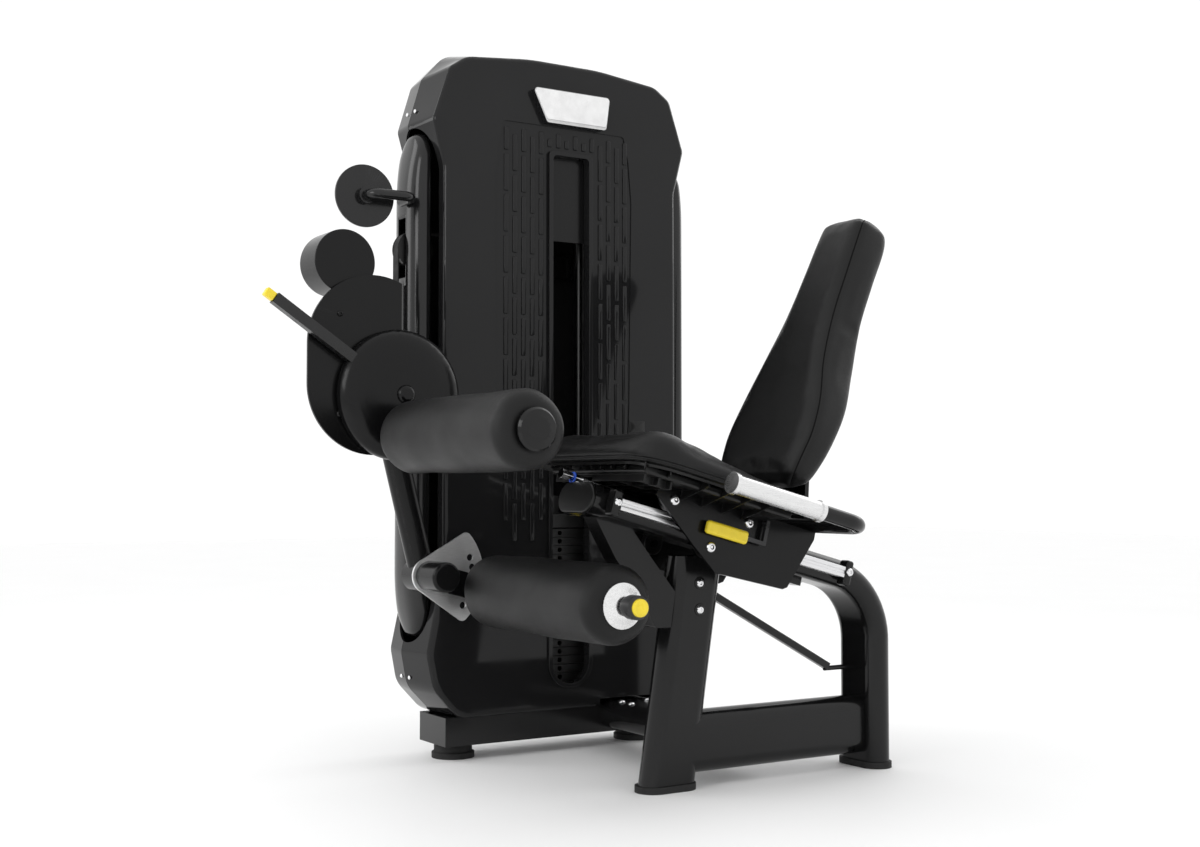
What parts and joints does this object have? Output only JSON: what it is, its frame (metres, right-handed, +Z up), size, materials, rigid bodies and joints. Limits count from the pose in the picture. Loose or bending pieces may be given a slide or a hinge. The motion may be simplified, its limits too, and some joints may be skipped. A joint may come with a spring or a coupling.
{
  "type": "leg extension machine",
  "caption": "Seated leg extension machine: weight tower with a coupled stack, swing arm with padded shin and thigh rollers, and a padded seat on a sloped slide.",
  "frame": {"origin": "centre of the front foot's sole, on the floor under the seat's front leg", "axes": "+Z up; the sitting user faces -X; +Y from the seat to the weight tower"},
  "size_m": [1.2382, 0.9304, 1.558],
  "materials": {
    "black_paint": "satin",
    "shroud_plastic": "satin",
    "black_plastic": "satin",
    "grey_panel": "satin",
    "badge_face": "gloss",
    "chrome": "polished",
    "plate_iron": "satin",
    "yellow_plastic": "gloss",
    "rubber": "matt",
    "aluminium": "brushed",
    "index_steel": "brushed",
    "vinyl": "grained satin"
  },
  "bodies": {
    "machine": {"tower_base_tube": "black_paint", "tower_feet": "rubber", "tower_uprights": "black_paint", "tower_crossbeams": "black_paint", "side_column_left": "black_paint", "side_column_right": "black_paint", "front_shroud": "shroud_plastic", "rear_shroud": "shroud_plastic", "window_frame": "black_plastic", "window_panel": "grey_panel", "badge": "badge_face", "guide_rods": "chrome", "resting_plates": "plate_iron", "belt": "rubber", "front_leg": "black_paint", "lower_beam": "black_paint", "cross_tube": "black_paint", "frame_feet": "rubber", "main_tube": "black_paint", "main_tube_cap": "black_plastic", "front_brace": "black_paint", "rear_brace": "black_paint", "frame_bolts": "chrome", "slide_rails": "aluminium", "rail_end_clamps": "aluminium", "buffer_shaft": "chrome", "pivot_bracket": "black_paint", "main_axle": "chrome", "guard_plate": "black_paint", "storage_hook": "black_paint"},
    "weight_stack": {"picked_plates": "plate_iron", "head_plate": "plate_iron", "lift_stem": "chrome", "belt_stack_run": "rubber"},
    "selector_pin": {"selector_pin": "yellow_plastic"},
    "column_pulley": {"column_pulley": "black_plastic"},
    "stack_pulley": {"stack_pulley": "black_plastic"},
    "carriage": {"carriage_frame": "black_paint", "seat_base": "black_plastic", "seat_cushion": "vinyl", "back_bracket": "black_paint", "backrest_cushion": "vinyl", "handle_tube": "black_paint", "hand_grips": "aluminium"},
    "front_wheels": {"front_wheels": "black_plastic"},
    "rear_wheels": {"rear_wheels": "black_plastic"},
    "lower_wheels": {"lower_wheels": "black_plastic"},
    "seat_lever": {"seat_lever": "yellow_plastic"},
    "swing_arm": {"swing_arm": "black_paint", "belt_cam": "black_paint", "index_plate": "index_steel", "counterweight": "black_paint"},
    "shin_unit": {"shin_link": "black_paint", "shin_roller_shaft": "chrome"},
    "shin_roller": {"shin_roller_pad": "vinyl"},
    "pull_knob": {"pull_knob": "yellow_plastic"},
    "thigh_unit": {"pivot_disc": "black_paint", "start_lever": "black_paint", "thigh_roller_shaft": "black_paint"},
    "thigh_roller": {"thigh_roller_pad": "vinyl"}
  },
  "joints": [
    {"name": "arm_swing", "type": "hinge", "parent": "machine", "child": "swing_arm", "pos_m": [-0.401, 0.5, 0.771], "axis": [0, 1, 0], "range_deg": [0, 105]},
    {"name": "shin_adjust", "type": "hinge", "parent": "swing_arm", "child": "shin_unit", "pos_m": [-0.307, 0.37, 0.403], "axis": [0, 1, 0], "range_deg": [-12, 36]},
    {"name": "shin_roller_spin", "type": "hinge", "parent": "shin_unit", "child": "shin_roller", "pos_m": [-0.198, 0.109, 0.373], "axis": [0, 1, 0], "continuous": true},
    {"name": "pull_knob_slide", "type": "slide", "parent": "shin_unit", "child": "pull_knob", "axis": [0, -1, 0], "range_m": [0, 0.02], "stiffness_N_per_m": 400, "springref_m": -0.005},
    {"name": "thigh_adjust", "type": "hinge", "parent": "machine", "child": "thigh_unit", "pos_m": [-0.401, 0.35, 0.771], "axis": [0, 1, 0], "range_deg": [0, 60]},
    {"name": "thigh_roller_spin", "type": "hinge", "parent": "thigh_unit", "child": "thigh_roller", "pos_m": [-0.415, 0.065, 0.684], "axis": [0, 1, 0], "continuous": true},
    {"name": "stack_lift", "type": "slide", "parent": "machine", "child": "weight_stack", "axis": [0, 0, 1], "range_m": [0, 0.16], "deforming": ["belt_stack_run"]},
    {"name": "selector_pin_pull", "type": "slide", "parent": "weight_stack", "child": "selector_pin", "axis": [0, -1, 0], "range_m": [0, 0.04]},
    {"name": "column_pulley_spin", "type": "hinge", "parent": "machine", "child": "column_pulley", "pos_m": [-0.2754, 0.563, 1.1], "axis": [0, 1, 0], "range_deg": [-230, 0]},
    {"name": "stack_pulley_spin", "type": "hinge", "parent": "machine", "child": "stack_pulley", "pos_m": [0.0302, 0.563, 1.1], "axis": [0, 1, 0], "range_deg": [-230, 0]},
    {"name": "carriage_slide", "type": "slide", "parent": "machine", "child": "carriage", "axis": [0.9677, 0, -0.2521], "range_m": [-0.045, 0.12]},
    {"name": "front_wheels_roll", "type": "hinge", "parent": "carriage", "child": "front_wheels", "pos_m": [-0.05265, 0, 0.56202], "axis": [0, 1, 0], "range_deg": [-125, 325]},
    {"name": "rear_wheels_roll", "type": "hinge", "parent": "carriage", "child": "rear_wheels", "pos_m": [0.12251, 0, 0.51639], "axis": [0, 1, 0], "range_deg": [-125, 325]},
    {"name": "lower_wheels_roll", "type": "hinge", "parent": "carriage", "child": "lower_wheels", "pos_m": [0.03039, 0, 0.47218], "axis": [0, 1, 0], "range_deg": [-325, 125]},
    {"name": "seat_lever_lift", "type": "hinge", "parent": "carriage", "child": "seat_lever", "pos_m": [0.15961, -0.112, 0.51602], "axis": [0, 1, 0], "range_deg": [0, 12], "stiffness_Nm_per_rad": 1, "springref_deg": -5.73}
  ],
  "couplings": [
    {"joint": "stack_lift", "follows": "arm_swing", "m_per_rad": 0.0858},
    {"joint": "column_pulley_spin", "follows": "arm_swing", "ratio": -2.1558},
    {"joint": "stack_pulley_spin", "follows": "arm_swing", "ratio": -2.1558},
    {"joint": "front_wheels_roll", "follows": "carriage_slide", "rad_per_m": 46.083},
    {"joint": "rear_wheels_roll", "follows": "carriage_slide", "rad_per_m": 46.083},
    {"joint": "lower_wheels_roll", "follows": "carriage_slide", "rad_per_m": -46.083}
  ]
}
